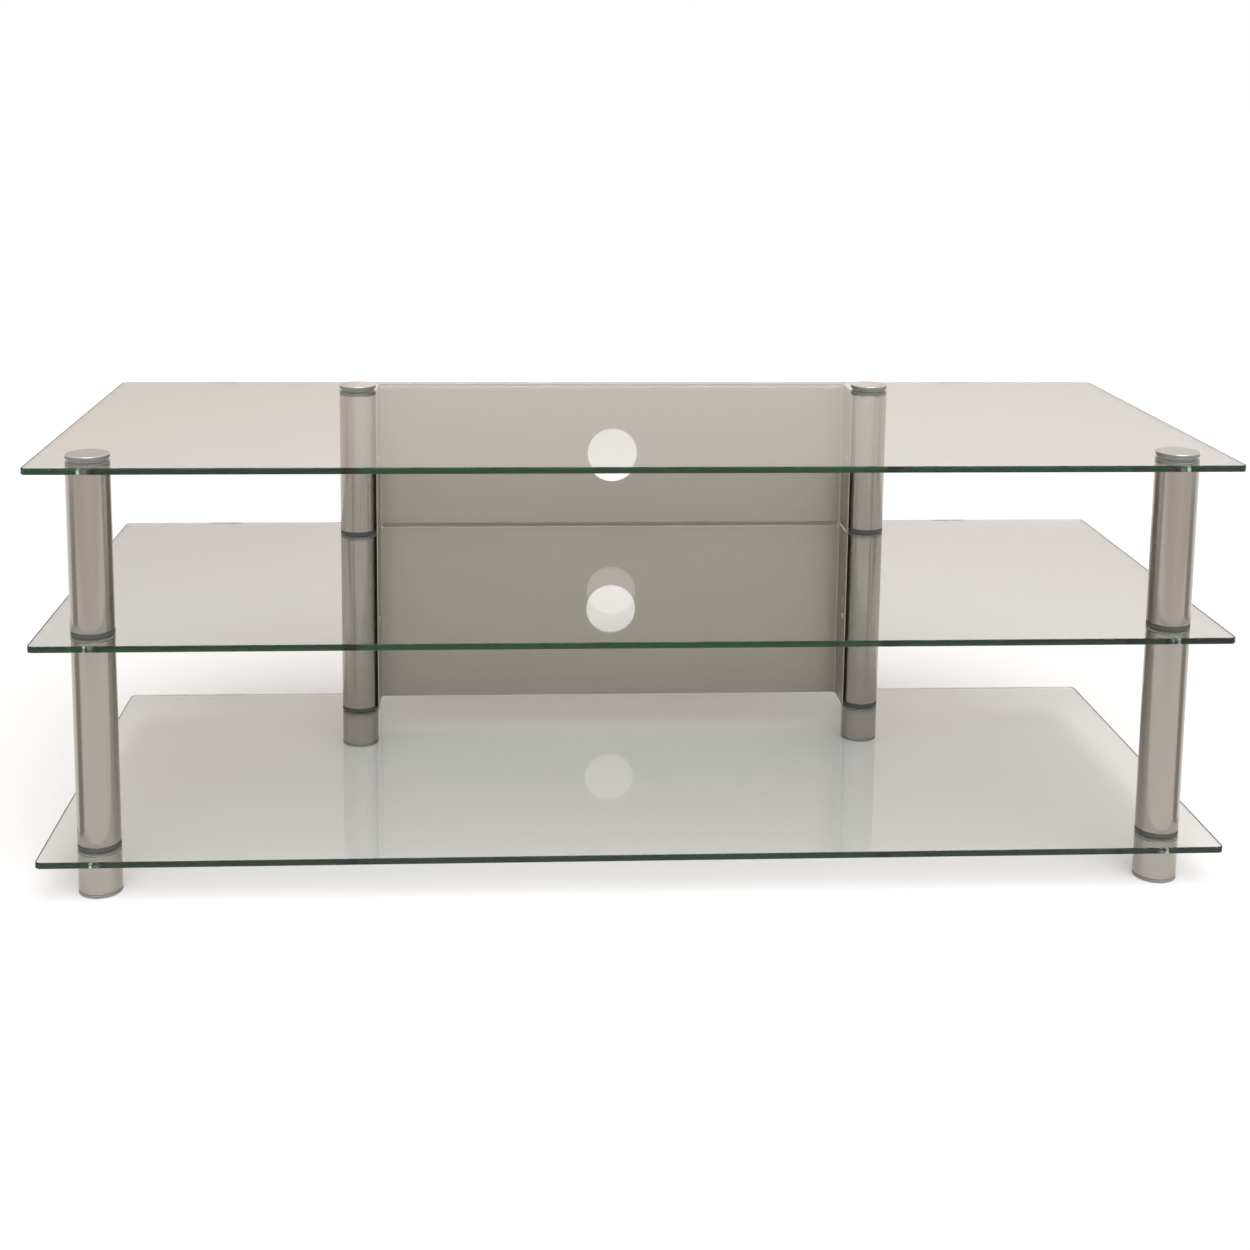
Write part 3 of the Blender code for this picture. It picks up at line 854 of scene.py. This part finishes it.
floor_mesh = bpy.data.meshes.new("floor")
corner_x = FLOOR_REACH * np.array([-1, 1, 1, -1])
corner_y = FLOOR_REACH * np.array([-1, -1, 1, 1])
floor_mesh.from_pydata(np.stack([corner_x, corner_y, np.full(4, FLOOR_LEVEL)], axis=-1), [], [(0, 1, 2, 3)])
floor_mesh.materials.append(pale_floor())
floor = bpy.data.objects.new("floor", floor_mesh)
bpy.context.scene.collection.objects.link(floor)

# Studio: white at the horizon and pale in front, with a beige wall at the back, lighter to the right and in
# the middle, that the glass and the caps mirror. The middle glass mirrors a darker band of it. One broad
# soft lamp shines from high up in front.
WALL_LEFT = (0.46, 0.37, 0.31)
WALL_RIGHT = (0.60, 0.515, 0.465)
WALL_MIDDLE = (0.74, 0.67, 0.63)
WALL_MIDDLE_REACH = (-0.080, 0.2155)
WALL_MIDDLE_FADE = 0.005
WALL_SPREAD = 0.3
ROOM_FRONT = (0.58, 0.58, 0.58)
ROOM_FADE = 0.3
WALL_FOOT = (0.08, 0.14)
BAND_LEFT = (0.14, 0.06, 0.03)
BAND_RIGHT = (0.40, 0.31, 0.26)
BAND_FOOT = (0.222, 0.242)
BAND_HEAD = (0.318, 0.338)
LAMP_STRENGTH = 2.2
LAMP_ANGLE = math.radians(50)
LAMP_TILT = (math.radians(35), math.radians(8), 0.0)

world = bpy.data.worlds.new("studio")
bpy.context.scene.world = world
world.use_nodes = True
background = world.node_tree.nodes["Background"]
direction = Wire(world.node_tree.nodes.new("ShaderNodeTexCoord").outputs["Generated"])
sideways, backwards, upwards = (
    direction.node("ShaderNodeSeparateXYZ", {}, {0: direction}, axis) for axis in range(3)
)
slant = sideways.math("DIVIDE", sideways, backwards)
left_end, right_end = (
    slant.ramp(end - WALL_MIDDLE_FADE, end + WALL_MIDDLE_FADE) for end in WALL_MIDDLE_REACH
)
sides = slant.ramp(-WALL_SPREAD, WALL_SPREAD)
band = upwards.ramp(*BAND_FOOT) * (1.0 - upwards.ramp(*BAND_HEAD))
ends = band.blend(sides.blend(WALL_LEFT, WALL_RIGHT), sides.blend(BAND_LEFT, BAND_RIGHT))
wall = (left_end * (1.0 - right_end)).blend(ends, WALL_MIDDLE)
room = backwards.ramp(-ROOM_FADE, ROOM_FADE).blend(ROOM_FRONT, wall)
upwards.ramp(*WALL_FOOT).blend((1.0, 1.0, 1.0), room).feed(background.inputs["Color"])

lamp_data = bpy.data.lights.new("overhead", "SUN")
lamp_data.energy = LAMP_STRENGTH
lamp_data.angle = LAMP_ANGLE
lamp = bpy.data.objects.new("overhead", lamp_data)
lamp.rotation_euler = LAMP_TILT
bpy.context.scene.collection.objects.link(lamp)

# Cards: two grey cards lie on the floor beside the stand, and a pale one lies further out in front. They
# show only in reflections, where they draw a dark strip down each front post and shade the upper tubes.
CARD_GREY = (0.36, 0.35, 0.33, 1.0)
CARD_BEARINGS = (math.radians(66), math.radians(100))
CARD_REACH = (0.12, 2.0)
FRONT_CARD_PALE = (0.73, 0.72, 0.70, 1.0)
FRONT_CARD_HALF = 2.5
FRONT_CARD_REACH = (-0.90, -3.0)


def lay_card(name, colour, x, y):
    """A flat card on the floor with its corners at x and y, which only glossy reflections meet."""
    finish = bpy.data.materials.new(name)
    finish.use_nodes = True
    finish.node_tree.nodes["Principled BSDF"].inputs["Base Color"].default_value = colour
    card_mesh = bpy.data.meshes.new(name)
    card_mesh.from_pydata(np.stack([x, y, np.zeros(4)], axis=-1), [], [(0, 1, 2, 3)])
    card_mesh.materials.append(finish)
    card = bpy.data.objects.new(name, card_mesh)
    card.visible_camera = False
    card.visible_diffuse = False
    card.visible_transmission = False
    card.visible_shadow = False
    bpy.context.scene.collection.objects.link(card)


for corner, side in (("front_left", -1), ("front_right", 1)):
    bearing = np.repeat(CARD_BEARINGS, 2)
    reach = np.array([*CARD_REACH, *CARD_REACH[::-1]])
    x = POST_AXES[corner][0] + side * reach * np.sin(bearing)
    y = POST_AXES[corner][1] - reach * np.cos(bearing)
    lay_card(f"{corner}_card", CARD_GREY, x, y)
lay_card(
    "front_card",
    FRONT_CARD_PALE,
    FRONT_CARD_HALF * np.array([-1, 1, 1, -1]),
    np.repeat(FRONT_CARD_REACH[::-1], 2),
)

# Camera: at the height and distance of the photograph, with its picture plane moved down a little, so that
# the posts stay nearly upright in the frame.
CAMERA_PLACE = (-0.1337, -1.8031, 0.7560)
CAMERA_YAW = math.radians(3.045)
CAMERA_PITCH = math.radians(8.369)
CAMERA_ROLL = math.radians(0.515)
IMAGE_PIXELS = 1250
FOCAL_PIXELS = 1812.5
CENTRE_PIXEL = (590, 340)

camera_data = bpy.data.cameras.new("camera")
camera_data.lens = camera_data.sensor_width * FOCAL_PIXELS / IMAGE_PIXELS
camera_data.shift_x = 0.5 - CENTRE_PIXEL[0] / IMAGE_PIXELS
camera_data.shift_y = CENTRE_PIXEL[1] / IMAGE_PIXELS - 0.5
camera = bpy.data.objects.new("camera", camera_data)
heading = Matrix.Rotation(-CAMERA_YAW, 4, "Z")
nod = Matrix.Rotation(math.pi / 2 - CAMERA_PITCH, 4, "X")
tilt = Matrix.Rotation(CAMERA_ROLL, 4, "Z")
camera.matrix_world = Matrix.Translation(CAMERA_PLACE) @ heading @ nod @ tilt
bpy.context.scene.collection.objects.link(camera)
bpy.context.scene.camera = camera
bpy.context.scene.view_settings.view_transform = "Standard"
